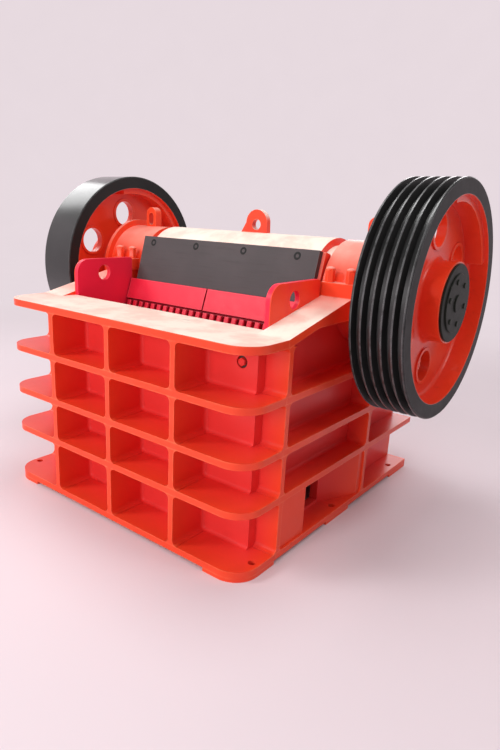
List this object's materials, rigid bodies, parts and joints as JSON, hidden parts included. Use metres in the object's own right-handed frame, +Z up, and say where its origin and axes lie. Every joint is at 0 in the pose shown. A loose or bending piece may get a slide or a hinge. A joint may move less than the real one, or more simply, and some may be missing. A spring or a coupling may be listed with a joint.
{
  "type": "jaw crusher",
  "caption": "Single-toggle jaw crusher: ribbed orange frame, toothed jaws in the mouth, eccentric shaft with a grooved pulley and a flywheel.",
  "frame": {"origin": "centre of the foundation bolt rectangle, on the plane that the foot pads rest on", "axes": "+X along the shaft towards the grooved pulley, -Y towards the front wall, +Z up"},
  "size_m": [1.928, 1.373, 1.358],
  "materials": {
    "frame_paint": "gloss enamel",
    "pitman_paint": "gloss enamel",
    "jaw_paint": "gloss enamel",
    "guard_paint": "satin",
    "wheel_paint": "gloss enamel",
    "cap_paint": "gloss enamel",
    "shaft_steel": "turned",
    "toggle_steel": "cast"
  },
  "bodies": {
    "frame": {"base_flange_front": "frame_paint", "base_flange_rear": "frame_paint", "base_flange_left": "frame_paint", "base_flange_right": "frame_paint", "foot_pads": "frame_paint", "front_bands": "frame_paint", "rear_bands": "frame_paint", "side_bands_left": "frame_paint", "side_bands_right": "frame_paint", "top_flange_front": "frame_paint", "top_flange_rear": "frame_paint", "top_flange_left": "frame_paint", "top_flange_right": "frame_paint", "front_wall": "frame_paint", "rear_wall": "frame_paint", "side_wall_left": "frame_paint", "side_wall_right": "frame_paint", "front_ribs": "frame_paint", "rear_ribs": "frame_paint", "side_ribs_left": "frame_paint", "side_ribs_right": "frame_paint", "bearing_base_left": "frame_paint", "bearing_base_right": "frame_paint", "bearing_cap_left": "frame_paint", "bearing_cap_right": "frame_paint", "bearing_cover_left": "frame_paint", "bearing_cover_right": "frame_paint", "cheek_plate_left": "jaw_paint", "cheek_plate_right": "jaw_paint", "fixed_jaw": "jaw_paint", "toggle_plate": "toggle_steel", "toggle_block": "toggle_steel", "adjusting_shims": "toggle_steel"},
    "rotor": {"eccentric_shaft": "shaft_steel", "pulley": "wheel_paint", "flywheel": "wheel_paint", "hub_cap_left": "cap_paint", "hub_cap_right": "cap_paint"},
    "swing_jaw": {"pitman": "pitman_paint", "lifting_eye": "pitman_paint", "guard_plate": "guard_paint", "swing_jaw_left": "jaw_paint", "swing_jaw_right": "jaw_paint"}
  },
  "joints": [
    {"name": "shaft_spin", "type": "hinge", "parent": "frame", "child": "rotor", "pos_m": [0, 0.175, 0.918], "axis": [1, 0, 0], "continuous": true},
    {"name": "jaw_swing", "type": "hinge", "parent": "rotor", "child": "swing_jaw", "pos_m": [0, 0.16934, 0.91234], "axis": [1, 0, 0], "continuous": true}
  ],
  "couplings": [
    {"joint": "jaw_swing", "follows": "shaft_spin", "ratio": -1}
  ]
}
